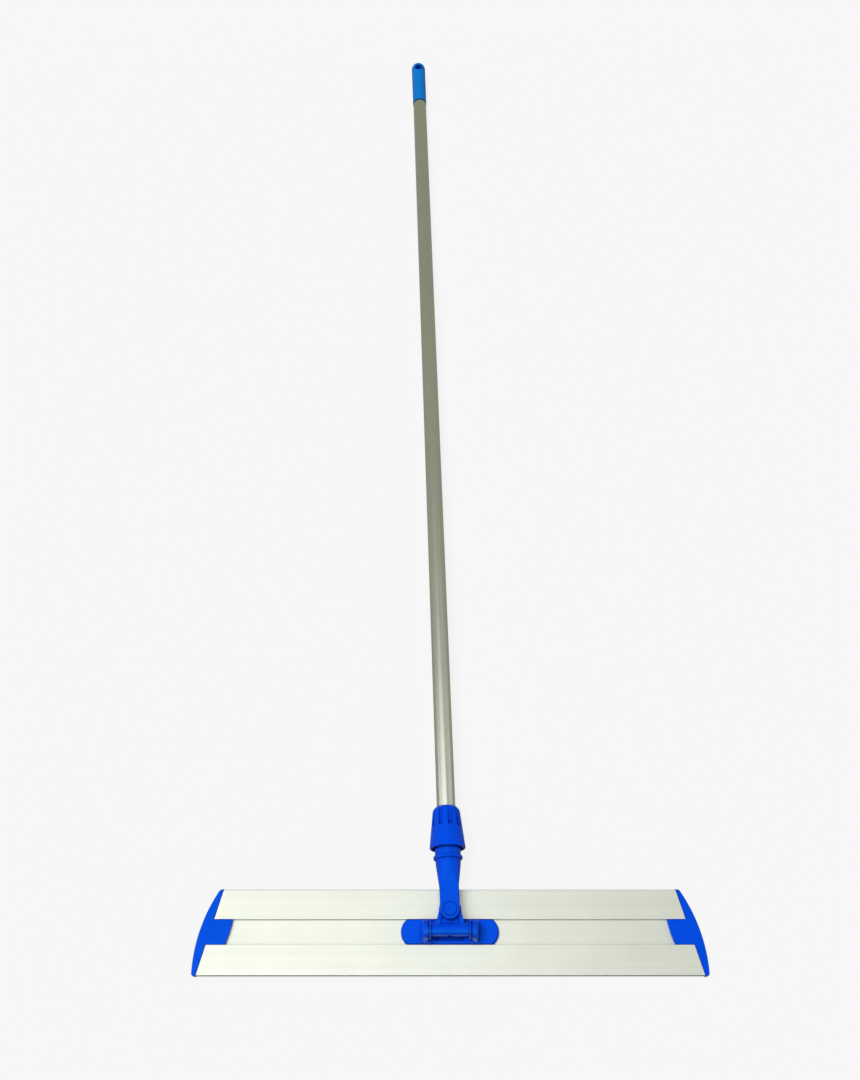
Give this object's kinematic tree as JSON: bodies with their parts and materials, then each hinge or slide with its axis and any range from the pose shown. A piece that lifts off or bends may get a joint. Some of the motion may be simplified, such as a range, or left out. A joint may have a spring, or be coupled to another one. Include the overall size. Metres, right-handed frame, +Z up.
{
  "type": "flat mop",
  "caption": "Flat mop with a wide aluminium head, curved end caps, hook strips underneath, a two-way swivel joint, a clamp nut and a long tube handle with a hanging grip.",
  "frame": {"origin": "on the floor, at the middle of the underside of the middle hook strip, under the tilt axis", "axes": "+X along the head, +Y from the head towards the far end of the resting handle, +Z up from the floor"},
  "size_m": [0.6008, 1.6092, 0.0447],
  "materials": {
    "anodised_aluminium": "satin anodised",
    "tube_aluminium": "satin anodised tube",
    "blue_plastic": "moulded, semi-gloss",
    "nut_plastic": "moulded, semi-gloss",
    "grip_plastic": "moulded, satin",
    "grey_plastic": "moulded, plain",
    "hook_tape": "woven tape with stiff hooks",
    "steel": "zinc plated"
  },
  "bodies": {
    "head": {"frame_profile": "anodised_aluminium", "end_cap_left": "blue_plastic", "end_cap_right": "blue_plastic", "hook_strip_front": "hook_tape", "hook_strip_middle": "hook_tape", "hook_strip_rear": "hook_tape", "cap_screws": "steel", "base_screws": "steel", "swivel_base": "blue_plastic", "tilt_axle": "steel"},
    "knuckle": {"knuckle": "blue_plastic"},
    "socket": {"pole_socket": "blue_plastic", "swivel_pin": "steel", "pin_cover_front": "blue_plastic", "pin_cover_rear": "blue_plastic"},
    "collet": {"clamp_collet": "grey_plastic"},
    "nut": {"clamp_nut": "nut_plastic"},
    "handle": {"handle_tube": "tube_aluminium", "tube_plug": "grey_plastic", "handle_grip": "grip_plastic"}
  },
  "joints": [
    {"name": "tilt", "type": "hinge", "parent": "head", "child": "knuckle", "pos_m": [0, 0, 0.0235], "axis": [1, 0, 0], "range_deg": [0, 180]},
    {"name": "swivel", "type": "hinge", "parent": "knuckle", "child": "socket", "pos_m": [0, 0.0215, 0.02335], "axis": [0, 0.0072, 1], "range_deg": [-46.7, 43.3]},
    {"name": "nut_advance", "type": "slide", "parent": "socket", "child": "collet", "axis": [-0.0297, 0.9995, -0.0072], "range_m": [0, 0.0045]},
    {"name": "nut_turn", "type": "hinge", "parent": "collet", "child": "nut", "pos_m": [-0.00297, 0.12145, 0.02263], "axis": [-0.0297, 0.9995, -0.0072], "range_deg": [0, 540]},
    {"name": "handle_slide", "type": "slide", "parent": "socket", "child": "handle", "axis": [-0.0297, 0.9995, -0.0072], "range_m": [0, 0.045]}
  ],
  "couplings": [
    {"joint": "nut_advance", "follows": "nut_turn", "m_per_rad": 0.00047746}
  ]
}
